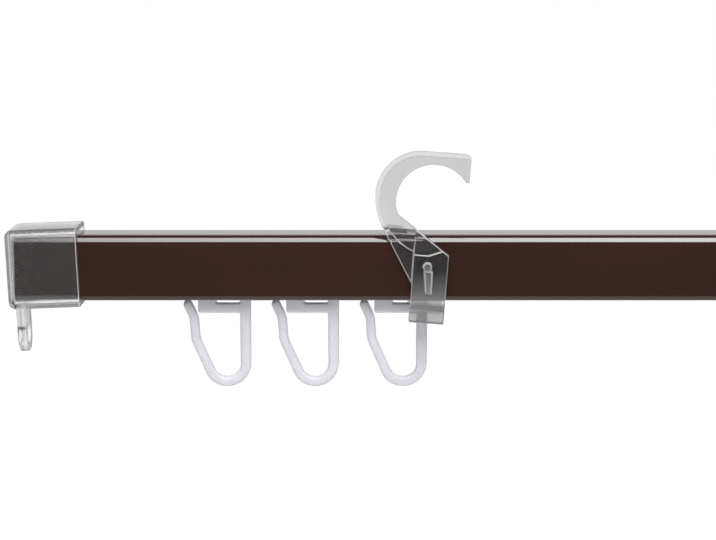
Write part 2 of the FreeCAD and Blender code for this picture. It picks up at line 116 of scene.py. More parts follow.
# How a moulded edge is told from a facet of a round face: degrees, and square metres
SHARP_TURN = 30.0
SLIGHT_TURN = 5.0
LARGE_FACE = 12.0 * MM * MM

# How an edge's room is found: the largest cosine between it and an edge that leaves it sideways,
# and the share of that edge which a rounding may take
SIDEWAYS = 0.85
ROOM_SHARE = 0.42

# The faces across a rounding, and how strongly a corner's shading follows its largest face
BEVEL_STEPS = 3
NORMAL_WEIGHT = 60

# The hooks lie above this height, and only the rib and the boss are in front of this depth: metres
HOOK_FOOT = -7.2 * MM
RIB_FRONT = -3.9 * MM

# The boss on a clip, with a little room around it, and how far it is moved to meet the rib: metres
BOSS_RADIUS = 1.15 * MM
BOSS_HEIGHT = 0.85 * MM
BOSS_END = 0.05 * MM
BOSS_MOVE = (0.25 * MM, 0.0, -0.42 * MM)

# The hook's front below its arc: the height where it starts, the depths between which it leans, the
# depths that its front and its rim get, and how far from the seat's axis the rim starts: metres
ARC_END = 1.3 * MM
LEAN_FRONT, LEAN_BACK = -1.8 * MM, -0.5 * MM
HOOK_FRONT = -2.0 * MM
RIM_FRONT = -1.2 * MM
RIM_START = 13.0 * MM

# The value kept on each face that says how much it frosts into a painted highlight, and how much
# the boss and the rib do
EDGE_HIGHLIGHT_MARK = "painted_edge_highlight"
RIB_HIGHLIGHT_MARK = 0.25

# How much the clear plastic's dullness changes to each side, and how much light it lets through:
# plain, at a rounded edge, where less of it paints a highlight line, and at a clip's foot. A clip's
# veil starts at the top height and is full at the foot's height, below which its colour darkens
# over a short fade, as painted shade under the rail: metres
DULL_CHANGE = 0.03
CLEAR_SHARE = 0.98
EDGE_HIGHLIGHT_SHARE = 0.62
FOOT_SHARE = 0.86
VEIL_TOP = -17.0 * MM
CLIP_FOOT = RAIL_LOW.z - 1.6 * MM
FOOT_FADE = 1.2 * MM

# A glider hook's limb, in X and Z from the top of its shank: metres
KNEE = (-13.65 * MM, -11.6 * MM)
BEND = (-14.0 * MM, -5.6 * MM)
TIP = (-15.7 * MM, -1.95 * MM)

# A glider hook's mesh: steps along it, how many points its running means take in, the steps of the
# dome at its tip and the share of the width left at its end, and the section's form and steps
SHANK_STEPS = 30
TURN_STEPS = 48
LIMB_STEPS = (30, 22, 14)
LINE_MEAN, WIDTH_MEAN = 9, 15
DOME_STEPS = 7
DOME_END = 0.05
SECTION_POWER = 0.62
SECTION_STEPS = 28

# A glider's bar, post and heads, from its shank's middle and the rail's foot: metres
SHANK_INSET = 2.5 * MM
BAR_LENGTH = 12.93 * MM
BAR_HALF_DEPTH = 1.3 * MM
BAR_TOP, BAR_FOOT = -1.57 * MM, -4.28 * MM
POST_WIDTH = 4.97 * MM
HEAD_FOOT = 1.1 * MM
HEAD_HALF_WIDTH = 2.5 * MM
HEAD_HALF_DEPTH = 4.5 * MM
NECK_OVERLAP = 0.4 * MM
BAR_ROUNDING, HEAD_ROUNDING = 0.45 * MM, 0.5 * MM

# How a glider's blocks are cut and crowded towards their edges, and how they melt into one skin
BLOCK_CUTS = 10
BLOCK_CROWDING = 0.6
SKIN_STEP = 0.2 * MM
FILLET_SHARE = 0.5
FILLET_ROUNDS = 10

# The middle of a noise pattern's range, where most of it lies
PATTERN_MIDDLE = (0.3, 0.7)

# A ray's count of bounces passes this at its first one
FIRST_BOUNCE = 0.5

# The Mix node's sockets for its first value, its second value and its result, by what it mixes
MIX_SOCKETS = {"FLOAT": (2, 3, 0), "RGBA": (6, 7, 2)}


class TrackSizes(bpy.types.PropertyGroup):
    rail_wall: bpy.props.FloatProperty(
        name="Rail Wall", description="Thickness of the rail's metal",
        default=1.0 * MM, unit="LENGTH")
    rail_slot: bpy.props.FloatProperty(
        name="Rail Slot", description="Width of the slot under the rail",
        default=5.0 * MM, unit="LENGTH")
    rail_top_radius: bpy.props.FloatProperty(
        name="Top Radius", description="Radius of the rail's upper edges",
        default=2.5 * MM, unit="LENGTH")
    rail_foot_radius: bpy.props.FloatProperty(
        name="Foot Radius", description="Radius of the rail's lower edges",
        default=1.8 * MM, unit="LENGTH")
    lip_radius: bpy.props.FloatProperty(
        name="Lip Radius", description="Radius of the slot's edges",
        default=0.3 * MM, unit="LENGTH")
    clip_edge: bpy.props.FloatProperty(
        name="Clip Edge", description="Rounding of the clips' moulded edges",
        default=0.24 * MM, unit="LENGTH")
    cap_edge: bpy.props.FloatProperty(
        name="Cap Edge", description="Rounding of the caps' moulded edges",
        default=0.22 * MM, unit="LENGTH")


class GliderSizes(bpy.types.PropertyGroup):
    wire_width: bpy.props.FloatProperty(
        name="Wire Width", description="Width of the hook's shank",
        default=3.0 * MM, unit="LENGTH")
    wire_depth: bpy.props.FloatProperty(
        name="Wire Depth", description="Depth of the hook from front to back",
        default=2.8 * MM, unit="LENGTH")
    limb_width: bpy.props.FloatProperty(
        name="Limb Width", description="Width of the hook's leaning limb",
        default=2.55 * MM, unit="LENGTH")
    turn_radius: bpy.props.FloatProperty(
        name="Turn Radius", description="Outer radius of the turn below",
        default=6.5 * MM, unit="LENGTH")
    turn_thickness: bpy.props.FloatProperty(
        name="Turn Thickness", description="Width of the hook in its turn",
        default=2.8 * MM, unit="LENGTH")
    turn_height: bpy.props.FloatProperty(
        name="Turn Height", description="Drop from the rail to the turn's centre",
        default=18.3 * MM, unit="LENGTH")
    limb_angle: bpy.props.FloatProperty(
        name="Limb Angle", description="Lean of the limb",
        default=math.radians(23.0), subtype="ANGLE")


class TrackColours(bpy.types.PropertyGroup):
    enamel: bpy.props.FloatVectorProperty(
        name="Enamel", description="Colour of the rail",
        default=(0.034, 0.0135, 0.0107), subtype="COLOR")
    clear_skin: bpy.props.FloatVectorProperty(
        name="Clear Skin", description="Colour of the clear plastic's surface",
        default=(0.965, 0.965, 0.97), subtype="COLOR")
    clear_depth: bpy.props.FloatVectorProperty(
        name="Clear Depth", description="Colour that the clear plastic takes with its depth",
        default=(0.80, 0.795, 0.80), subtype="COLOR")
    cap_density: bpy.props.FloatProperty(
        name="Cap Density", description="How fast the end caps darken with their depth",
        default=150.0)
    clip_density: bpy.props.FloatProperty(
        name="Clip Density", description="How fast the hanger clips darken with their depth",
        default=560.0)
    # Painted shade: how much darker the clips' skin is made below the rail
    clip_foot_shade: bpy.props.FloatProperty(
        name="Clip Foot", description="The clips' colour below the rail, as a share of the skin's",
        default=0.68)
    milky: bpy.props.FloatVectorProperty(
        name="Milky Plastic", description="Colour of the gliders",
        default=(0.665, 0.665, 0.705), subtype="COLOR")


def sizes():
    """The rail's sizes and those of the moulded edges, as set in the panel."""
    return bpy.context.scene.track_sizes


def glider_sizes():
    """The gliders' sizes, as set in the panel."""
    return bpy.context.scene.glider_sizes


def colours():
    """The colours and densities, as set in the panel."""
    return bpy.context.scene.track_colours


def read(rows, name, width, kind=np.float32):
    """A whole array read from a mesh: a line for each of its rows, with width numbers in it."""
    values = np.empty(len(rows) * width, kind)
    rows.foreach_get(name, values)
    return values.reshape(-1, width)


def add_object(name, data):
    """Puts a mesh, a light or a camera into the scene as an object."""
    made = bpy.data.objects.new(name, data)
    bpy.context.scene.collection.objects.link(made)
    return made


def new_piece(name, points, faces):
    """Makes a mesh object from whole arrays of points and faces."""
    mesh = bpy.data.meshes.new(name)
    mesh.from_pydata(np.asarray(points, float).tolist(), [], [list(face) for face in faces])
    mesh.validate()
    mesh.update()
    return add_object(name, mesh)


def grid_faces(rows, columns):
    """Quads between the rings of a tube: each ring has its points in a closed loop."""
    row, column = np.meshgrid(np.arange(rows - 1), np.arange(columns), indexing="ij")
    following = (column + 1) % columns
    return np.stack([
        row * columns + column, row * columns + following,
        (row + 1) * columns + following, (row + 1) * columns + column,
    ], axis=-1).reshape(-1, 4)


def tube(name, rings):
    """A closed tube through rings of points, each end closed by one face."""
    count, around = rings.shape[:2]
    faces = grid_faces(count, around).tolist()
    faces.append(list(range(around))[::-1])
    faces.append(list(range((count - 1) * around, count * around)))
    return new_piece(name, rings.reshape(-1, 3), faces)


def face_outwards(piece):
    """Turns every face of a closed mesh outwards."""
    work = bmesh.new()
    work.from_mesh(piece.data)
    bmesh.ops.recalc_face_normals(work, faces=work.faces)
    work.to_mesh(piece.data)
    work.free()


def settle(piece):
    """Applies a piece's modifiers to its mesh."""
    graph = bpy.context.evaluated_depsgraph_get()
    settled = bpy.data.meshes.new_from_object(piece.evaluated_get(graph))
    piece.modifiers.clear()
    piece.data = settled


def coat(piece, *materials):
    """Gives a piece's mesh these materials and no others."""
    piece.data.materials.clear()
    for material in materials:
        piece.data.materials.append(material)


def arc(centre, radius, start, end, steps):
    """Points on an arc: centre plus radius times the cosine and sine of evenly spaced angles."""
    angles = np.radians(np.linspace(start, end, steps + 1))
    return np.column_stack([
        centre[0] + radius * np.cos(angles), centre[1] + radius * np.sin(angles)])


def divided(points, step):
    """Adds points along the long runs of a closed outline, at about even steps."""
    following = np.roll(points, -1, axis=0)
    counts = np.ceil(np.linalg.norm(following - points, axis=1) / step)
    counts = np.maximum(1, counts.astype(int))
    starts = np.repeat(points, counts, axis=0)
    runs = np.repeat(following - points, counts, axis=0)
    places = np.concatenate([np.arange(count) / count for count in counts])
    return starts + runs * places[:, None]


def running_mean(values, count):
    """The mean of each value and its neighbours, count in all, with the end values repeated."""
    padded = np.pad(values, count // 2, mode="edge")
    return np.convolve(padded, np.ones(count) / count, "valid")


def fill(tree, socket, value):
    """Gives a socket a number or a colour, or links another node's output to it."""
    if isinstance(value, bpy.types.NodeSocket):
        tree.links.new(value, socket)
    elif isinstance(value, tuple):
        socket.default_value = (*value, 1.0)
    else:
        socket.default_value = value


def joined(tree, operation, first, second=0.0):
    """The result of a maths node on two values."""
    node = tree.nodes.new("ShaderNodeMath")
    node.operation = operation
    fill(tree, node.inputs[0], first)
    fill(tree, node.inputs[1], second)
    return node.outputs["Value"]


def mixed(tree, kind, factor, off, on):
    """Two numbers or colours mixed: the first where the factor is 0, the second where it is 1."""
    mix = tree.nodes.new("ShaderNodeMix")
    mix.data_type = kind
    first, second, result = MIX_SOCKETS[kind]
    fill(tree, mix.inputs[0], factor)
    fill(tree, mix.inputs[first], off)
    fill(tree, mix.inputs[second], on)
    return mix.outputs[result]


def chosen(tree, factor, off, on):
    """A number that changes with the factor."""
    return mixed(tree, "FLOAT", factor, off, on)


def tinted(tree, factor, off, on):
    """A colour that changes with the factor."""
    return mixed(tree, "RGBA", factor, off, on)


def along(tree, coordinates, axis):
    """One coordinate of a place or a direction."""
    parts = tree.nodes.new("ShaderNodeSeparateXYZ")
    tree.links.new(coordinates, parts.inputs["Vector"])
    return parts.outputs[axis]


def ranged(tree, value, source, target=(0.0, 1.0), kind="LINEAR"):
    """A value's source range laid over a target range, and held at its ends."""
    span = tree.nodes.new("ShaderNodeMapRange")
    span.interpolation_type = kind
    span.inputs["From Min"].default_value, span.inputs["From Max"].default_value = source
    span.inputs["To Min"].default_value, span.inputs["To Max"].default_value = target
    tree.links.new(value, span.inputs["Value"])
    return span.outputs["Result"]


def faded(tree, value, start, end):
    """0 up to the start, 1 from the end, and a smooth change between them."""
    return ranged(tree, value, (start, end), kind="SMOOTHSTEP")


def spread(tree, pattern, low=0.0, high=1.0):
    """The middle of a pattern's range, spread over low to high."""
    return ranged(tree, pattern, PATTERN_MIDDLE, (low, high))


def noise(tree, place, scale, detail=2.0, stretch=(1, 1, 1)):
    """A noise pattern on Object coordinates, with about scale spots in a metre. Where a share of
    stretch is small, the pattern is long along that axis."""
    mapping = tree.nodes.new("ShaderNodeMapping")
    mapping.inputs["Scale"].default_value = stretch
    texture = tree.nodes.new("ShaderNodeTexNoise")
    texture.inputs["Scale"].default_value = scale
    texture.inputs["Detail"].default_value = detail
    tree.links.new(place.outputs["Object"], mapping.inputs["Vector"])
    tree.links.new(mapping.outputs["Vector"], texture.inputs["Vector"])
    return texture.outputs["Fac"]


def bumped(tree, pattern, distance, strength):
    """A normal that follows a pattern's heights."""
    bump = tree.nodes.new("ShaderNodeBump")
    bump.inputs["Distance"].default_value = distance
    bump.inputs["Strength"].default_value = strength
    tree.links.new(pattern, bump.inputs["Height"])
    return bump.outputs["Normal"]


def shade(colour, factor):
    """A colour made darker or lighter, up to white."""
    return tuple(min(1.0, part * factor) for part in colour)


def clouded(tree, pattern, colour, dark, light):
    """A colour that changes with a pattern between two of its shades."""
    return tinted(tree, spread(tree, pattern), shade(colour, dark), shade(colour, light))


def node_material(name):
    """A new material with its shader, and a reader of Object coordinates."""
    material = bpy.data.materials.new(name)
    material.use_nodes = True
    tree = material.node_tree
    shader = tree.nodes["Principled BSDF"]
    place = tree.nodes.new("ShaderNodeTexCoord")
    return material, tree, shader, place


def enamel_material():
    """Gloss enamel: slow changes of colour along the rail, and faint flow lines."""
    material, tree, shader, place = node_material("brown_enamel")
    drift = noise(tree, place, scale=60, detail=3, stretch=(0.25, 1, 1))
    haze = noise(tree, place, scale=420, stretch=(0.1, 1, 1))
    flow = noise(tree, place, scale=900, stretch=(0.05, 1, 1))
    colour = clouded(tree, drift, tuple(colours().enamel), dark=0.88, light=1.14)
    tree.links.new(colour, shader.inputs["Base Color"])
    tree.links.new(spread(tree, haze, low=0.08, high=0.13), shader.inputs["Roughness"])
    tree.links.new(
        bumped(tree, flow, distance=0.004 * MM, strength=0.3), shader.inputs["Normal"])
    shader.inputs["IOR"].default_value = 1.88
    return material


def clear_material(name, density, dull, gloss, foot=None):
    """Clear moulded plastic: it refracts, greys with its depth, frosts at its rounded edges, which
    paints highlight lines there, and has slow waves left by the mould. A clip gets hazy towards its
    foot's height, and below it, under the rail, its colour is darkened as painted shade."""
    material, tree, shader, place = node_material(name)
    colour = tuple(colours().clear_skin)
    skin = clouded(tree, noise(tree, place, scale=160, detail=3), colour, dark=0.98, light=1.015)
    clear = CLEAR_SHARE
    if foot is not None:
        drop = joined(tree, "MULTIPLY", along(tree, place.outputs["Object"], "Z"), -1.0)
        # Painted shade: below the foot's height, under the rail, the skin is made darker
        below = faded(tree, drop, -foot, -foot + FOOT_FADE)
        skin = tinted(tree, below, skin, shade(colour, colours().clip_foot_shade))
        clear = chosen(tree, faded(tree, drop, -VEIL_TOP, -foot), CLEAR_SHARE, FOOT_SHARE)
    # Painted highlight: where the mark is set, on rounded edges and in part on the boss and the
    # rib, less light goes through, and the plastic shows light lines
    edge = tree.nodes.new("ShaderNodeAttribute")
    edge.attribute_name = EDGE_HIGHLIGHT_MARK
    share = chosen(tree, edge.outputs["Fac"], clear, EDGE_HIGHLIGHT_SHARE)
    haze = spread(tree, noise(tree, place, scale=500), dull - DULL_CHANGE, dull + DULL_CHANGE)
    waves = noise(tree, place, scale=200, detail=1)
    tree.links.new(skin, shader.inputs["Base Color"])
    tree.links.new(haze, shader.inputs["Roughness"])
    tree.links.new(
        bumped(tree, waves, distance=0.02 * MM, strength=0.15), shader.inputs["Normal"])
    tree.links.new(share, shader.inputs["Transmission Weight"])
    shader.inputs["Transmission Weight"].default_value = CLEAR_SHARE
    shader.inputs["IOR"].default_value = 1.49
    shader.inputs["Specular IOR Level"].default_value = gloss
    depth = tree.nodes.new("ShaderNodeVolumeAbsorption")
    depth.inputs["Color"].default_value = (*colours().clear_depth, 1.0)
    depth.inputs["Density"].default_value = density
    tree.links.new(depth.outputs["Volume"], tree.nodes["Material Output"].inputs["Volume"])
    return material


def milky_material():
    """Milky moulded plastic: light scatters inside it, with a satin skin and faint flow marks."""
    material, tree, shader, place = node_material("milky_plastic")
    cloud = noise(tree, place, scale=220, detail=3)
    haze = noise(tree, place, scale=700)
    flow = noise(tree, place, scale=500, detail=1, stretch=(1, 1, 0.1))
    colour = clouded(tree, cloud, tuple(colours().milky), dark=0.98, light=1.015)
    tree.links.new(colour, shader.inputs["Base Color"])
    tree.links.new(spread(tree, haze, low=0.28, high=0.36), shader.inputs["Roughness"])
    tree.links.new(
        bumped(tree, flow, distance=0.01 * MM, strength=0.2), shader.inputs["Normal"])
    shader.inputs["IOR"].default_value = 1.48
    shader.inputs["Subsurface Weight"].default_value = 0.5
    shader.inputs["Subsurface Radius"].default_value = (1.0, 1.0, 1.0)
    shader.inputs["Subsurface Scale"].default_value = 1.5 * MM
    return material


def rail_section():
    """The rail's closed section in Y and Z: arcs at the corners and the slot's lips, and straight
    runs between them. It goes round the outside from the slot's front lip, and back inside."""
    size = sizes()
    wall, top, foot, lip = (
        size.rail_wall, size.rail_top_radius, size.rail_foot_radius, size.lip_radius)
    front, back = RAIL_LOW.y, RAIL_HIGH.y
    low, high = RAIL_LOW.z, RAIL_HIGH.z
    slot_front = RAIL_MIDDLE - size.rail_slot / 2
    slot_back = RAIL_MIDDLE + size.rail_slot / 2
    outline = np.concatenate([
        arc((slot_front - lip, low + lip), lip, 0, -90, LIP_STEPS),
        arc((front + foot, low + foot), foot, -90, -180, FOOT_STEPS),
        arc((front + top, high - top), top, 180, 90, TOP_STEPS),
        arc((back - top, high - top), top, 90, 0, TOP_STEPS),
        arc((back - foot, low + foot), foot, 0, -90, FOOT_STEPS),
        arc((slot_back + lip, low + lip), lip, -90, -180, LIP_STEPS),
        arc((slot_back + lip, low + wall - lip), lip, 180, 90, LIP_STEPS),
        arc((back - foot, low + foot), foot - wall, -90, 0, FOOT_STEPS),
        arc((back - top, high - top), top - wall, 0, 90, TOP_STEPS),
        arc((front + top, high - top), top - wall, 90, 180, TOP_STEPS),
        arc((front + foot, low + foot), foot - wall, 180, 270, FOOT_STEPS),
        arc((slot_front - lip, low + wall - lip), lip, 90, 0, LIP_STEPS),
    ])
    return divided(outline, RUN_STEP)


def build_rail():
    """The rail's section carried straight along X from end to end."""
    section = rail_section()
    rings = np.empty((RAIL_RINGS, len(section), 3))
    rings[:, :, 0] = np.linspace(RAIL_LOW.x, RAIL_HIGH.x, RAIL_RINGS)[:, None]
    rings[:, :, 1:] = section[None]
    piece = tube("gloss_rail", rings)
    face_outwards(piece)
    piece.data.shade_smooth()
    piece.data.set_sharp_from_angle(angle=math.radians(RAIL_SHARP))
    coat(piece, enamel_material())
    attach(piece, TRACK)
    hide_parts("rail")


def is_crease(line):
    """Tells a moulded edge from a round face's facet: it is sharp, or it parts two large faces."""
    if len(line.link_faces) != 2:
        return False
    turn = math.degrees(line.calc_face_angle(0.0))
    large = min(face.calc_area() for face in line.link_faces) > LARGE_FACE
    return turn > SHARP_TURN or (large and turn > SLIGHT_TURN)


def room_beside(line):
    """How far an edge can be rounded: a share of the shortest edge that leaves it sideways."""
    room = math.inf
    for corner in line.verts:
        here = (line.other_vert(corner).co - corner.co).normalized()
        for other in corner.link_edges:
            if other is line:
                continue
            there = (other.other_vert(corner).co - corner.co).normalized()
            if abs(here.dot(there)) < SIDEWAYS:
                room = min(room, ROOM_SHARE * other.calc_length())
    return room


def weigh_edges(work, edge):
    """Gives each crease its share of the rounding, up to its room. A hook's creases stay sharp."""
    weights = work.edges.layers.float.new("bevel_weight_edge")
    for line in work.edges:
        crease = is_crease(line)
        on_hook = min(corner.co.z for corner in line.verts) > HOOK_FOOT
        line.smooth = not (crease and on_hook)
        line[weights] = min(1.0, room_beside(line) / edge) if crease and not on_hook else 0.0


def move_boss(work):
    """Moves a clip's boss to the rib below it. The boss stands furthest forward, and holds the
    points within its radius and its height of the middle of its flat end."""
    front = min(corner.co.y for corner in work.verts)
    end = [corner.co for corner in work.verts if corner.co.y < front + BOSS_END]
    middle = sum(end, Vector()) / len(end)
    for corner in work.verts:
        away = corner.co - middle
        if math.hypot(away.x, away.z) < BOSS_RADIUS and away.y < BOSS_HEIGHT:
            corner.co += Vector(BOSS_MOVE)


def level_hook(piece, seat_x):
    """Brings the front of a hook's root level with its arc: points on the root's leaning front go
    to the front's depth, and those past the rim's start to the rim's depth."""
    mesh = piece.data
    points = read(mesh.vertices, "co", 3)
    x, y, z = points.T.astype(float)
    leaning = (z > HOOK_FOOT) & (z < ARC_END) & (y > LEAN_FRONT) & (y < LEAN_BACK)
    depth = np.where(np.hypot(x - seat_x, z) > RIM_START, RIM_FRONT, HOOK_FRONT)
    points[:, 1] = np.where(leaning, depth, y)
    mesh.vertices.foreach_set("co", points.ravel())
    mesh.update()


def mark_painted_highlights(piece):
    """Keeps as a value on each face how much it frosts into a painted highlight: rounded edges,
    told by their second material, and in part the faces of the boss and the rib."""
    mesh = piece.data
    rounded = read(mesh.polygons, "material_index", 1, np.int32)[:, 0]
    depth = read(mesh.polygons, "center", 3)[:, 1]
    # Painted highlight lines on the rounded edges, and fainter ones on the boss and the rib
    painted_highlight = np.where(rounded > 0, 1.0, np.where(depth < RIB_FRONT, RIB_HIGHLIGHT_MARK, 0.0))
    marks = mesh.attributes.new(EDGE_HIGHLIGHT_MARK, "FLOAT", "FACE")
    marks.data.foreach_set("value", painted_highlight.astype(np.float32))
    mesh.polygons.foreach_set("material_index", np.zeros_like(rounded))


def build_moulding(node, edge, material):
    """A moulding on a CAD node's own faces. Flat faces are made whole, and each sharp edge is
    rounded below the hooks, whose edges stay crisp. A clip's boss and hook go to their place. The
    rounded faces get the second of two like materials, which tells them from the rest."""
    piece = add_object("clear_" + node, frame["nodes"][node].data.copy())
    work = bmesh.new()
    work.from_mesh(piece.data)
    bmesh.ops.remove_doubles(work, verts=work.verts, dist=WELD)
    if node in SEAT_X:
        move_boss(work)
    bmesh.ops.dissolve_limit(
        work, angle_limit=math.radians(FLAT_TURN), verts=work.verts, edges=work.edges,
        use_dissolve_boundaries=False)
    weigh_edges(work, edge)
    for face in work.faces:
        face.smooth = True
    work.to_mesh(piece.data)
    work.free()
    coat(piece, material, material)
    bevel = piece.modifiers.new("edges", "BEVEL")
    bevel.width = edge
    bevel.segments = BEVEL_STEPS
    bevel.limit_method = "WEIGHT"
    bevel.use_clamp_overlap = False
    bevel.miter_outer = "MITER_ARC"
    bevel.material = 1
    settle(piece)
    if node in SEAT_X:
        level_hook(piece, SEAT_X[node])
    flat = piece.modifiers.new("flat faces", "WEIGHTED_NORMAL")
    flat.mode = "FACE_AREA"
    flat.weight = NORMAL_WEIGHT
    flat.keep_sharp = True
    settle(piece)
    mark_painted_highlights(piece)
    coat(piece, material)
    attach(piece, TRACK)
    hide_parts(node)


def hook_line():
    """The glider hook's centreline in X and Z with its width at each point: down the shank, round
    the turn on an arc, up the leaning limb, and over to the tip. A running mean rounds the
    corners, and evens out the widths."""
    size = glider_sizes()
    radius = size.turn_radius - size.turn_thickness / 2
    lean = math.degrees(size.limb_angle)
    drops = np.linspace(0, -size.turn_height, SHANK_STEPS + 1)[:-1]
    shank = np.column_stack([np.zeros(SHANK_STEPS), drops])
    turn = arc((-radius, -size.turn_height), radius, 0, -180 + lean, TURN_STEPS)
    stops = np.array([turn[-1], KNEE, BEND, TIP])
    runs = [
        np.linspace(start, end, steps, endpoint=False)
        for start, end, steps in zip(stops, stops[1:], LIMB_STEPS)
    ]
    limb = np.concatenate(runs + [stops[-1:]])[1:]
    eased = np.column_stack([running_mean(limb[:, axis], LINE_MEAN) for axis in range(2)])
    eased[[0, -1]] = limb[[0, -1]]
    widths = np.concatenate([
        np.full(len(shank), size.wire_width),
        np.full(len(turn), size.turn_thickness),
        np.full(len(eased), size.limb_width),
    ])
    return np.concatenate([shank, turn, eased]), running_mean(widths, WIDTH_MEAN)


def rounded_ring(power, steps):
    """A rounded square of half-width 1: cosine and sine raised to a power, signs kept."""
    turn = np.linspace(0, 2 * np.pi, steps, endpoint=False)
    sides = np.column_stack([np.cos(turn), np.sin(turn)])
    return np.sign(sides) * np.abs(sides) ** power


def build_hook(name, shank_x, foot_z):
    """The rounded section carried along the hook's centreline. At the tip's dome it goes on by the
    sine of an angle from 0 to 90 degrees, and shrinks by its cosine."""
    line, widths = hook_line()
    size = glider_sizes()
    ahead = np.gradient(line, axis=0)
    ahead /= np.linalg.norm(ahead, axis=1)[:, None]
    across = np.column_stack([ahead[:, 1], -ahead[:, 0]])
    dome = np.linspace(0, np.pi / 2, DOME_STEPS + 1)[1:]
    reach = np.sin(dome) * size.limb_width / 2
    shrink = np.maximum(np.cos(dome), DOME_END)
    depths = np.concatenate([np.full(len(line), size.wire_depth), size.wire_depth * shrink])
    widths = np.concatenate([widths, size.limb_width * shrink])
    line = np.concatenate([line, line[-1] + ahead[-1] * reach[:, None]])
    across = np.concatenate([across, np.repeat(across[-1:], DOME_STEPS, axis=0)])
    ring = rounded_ring(SECTION_POWER, SECTION_STEPS)
    side = ring[None, :, 0] * widths[:, None] / 2
    rings = np.empty((len(line), SECTION_STEPS, 3))
    rings[:, :, 0] = shank_x + line[:, None, 0] + side * across[:, None, 0]
    rings[:, :, 1] = RAIL_MIDDLE + ring[None, :, 1] * depths[:, None] / 2
    rings[:, :, 2] = foot_z + line[:, None, 1] + side * across[:, None, 1]
    piece = tube(name, rings)
    face_outwards(piece)
    return piece


def rounded_block(name, low, high, corner):
    """A box with rounded edges: each point of a divided cube is clamped to an inner box, and pushed
    out from there by the corner's radius."""
    work = bmesh.new()
    bmesh.ops.create_cube(work, size=2.0)
    bmesh.ops.subdivide_edges(work, edges=work.edges, cuts=BLOCK_CUTS, use_grid_fill=True)
    mesh = bpy.data.meshes.new(name)
    work.to_mesh(mesh)
    work.free()
    unit = read(mesh.vertices, "co", 3).astype(float)
    low, high = np.asarray(low, float), np.asarray(high, float)
    centre, half = (low + high) / 2, (high - low) / 2
    inner = half - corner
    at = np.sign(unit) * np.abs(unit) ** BLOCK_CROWDING * half
    core = np.clip(at, -inner, inner)
    away = at - core
    points = core + away / np.linalg.norm(away, axis=1)[:, None] * corner
    mesh.vertices.foreach_set("co", (points + centre).astype(np.float32).ravel())
    mesh.update()
    piece = add_object(name, mesh)
    face_outwards(piece)
    return piece


def join_into(piece, others):
    """Adds other meshes to a piece's mesh and removes their objects."""
    work = bmesh.new()
    work.from_mesh(piece.data)
    for other in others:
        work.from_mesh(other.data)
        bpy.data.objects.remove(other)
    work.to_mesh(piece.data)
    work.free()


def build_glider(node, material):
    """One glider: hook, bar, post, neck and two heads, melted into one skin. The post stands on the
    bar's left end and the neck above the shank, and each carries a head inside the rail."""
    low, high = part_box(node)
    rail_foot = RAIL_LOW.z
    shank_x = high.x - SHANK_INSET
    bar_left = shank_x - BAR_LENGTH
    post_right = bar_left + POST_WIDTH
    shank_half = glider_sizes().wire_width / 2
    bar_foot, bar_top = rail_foot + BAR_FOOT, rail_foot + BAR_TOP
    head_foot = rail_foot + HEAD_FOOT
    neck_top = head_foot + NECK_OVERLAP
    bar_blocks = [
        ((bar_left, shank_x), (bar_foot, bar_top)),
        ((bar_left, post_right), (bar_foot, neck_top)),
        ((shank_x - shank_half, shank_x + shank_half), (bar_foot, neck_top)),
    ]
    heads = [
        ((middle - HEAD_HALF_WIDTH, middle + HEAD_HALF_WIDTH), (head_foot, high.z))
        for middle in ((bar_left + post_right) / 2, shank_x)
    ]
    blocks = []
    for boxes, half_depth, corner in (
            (bar_blocks, BAR_HALF_DEPTH, BAR_ROUNDING), (heads, HEAD_HALF_DEPTH, HEAD_ROUNDING)):
        for (left, right), (foot, top) in boxes:
            blocks.append(rounded_block(
                f"{node}_block_{len(blocks) + 1}", (left, RAIL_MIDDLE - half_depth, foot),
                (right, RAIL_MIDDLE + half_depth, top), corner))
    piece = build_hook("milky_" + node, shank_x, rail_foot)
    join_into(piece, blocks)
    melt = piece.modifiers.new("one skin", "REMESH")
    melt.mode = "VOXEL"
    melt.voxel_size = SKIN_STEP
    ease = piece.modifiers.new("fillets", "SMOOTH")
    ease.factor = FILLET_SHARE
    ease.iterations = FILLET_ROUNDS
    settle(piece)
    piece.data.shade_smooth()
    coat(piece, material)
    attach(piece, node)
    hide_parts(node)


def seen_through(tree, path):
    """1 for the rays that have only passed through clear plastic, and 0 once one was mirrored."""
    return joined(tree, "LESS_THAN", path.outputs["Glossy Depth"], FIRST_BOUNCE)


def spread_light(tree, path):
    """1 for the rays that light a surface, 0 for those that show a picture of the room."""
    return joined(tree, "GREATER_THAN", path.outputs["Diffuse Depth"], FIRST_BOUNCE)


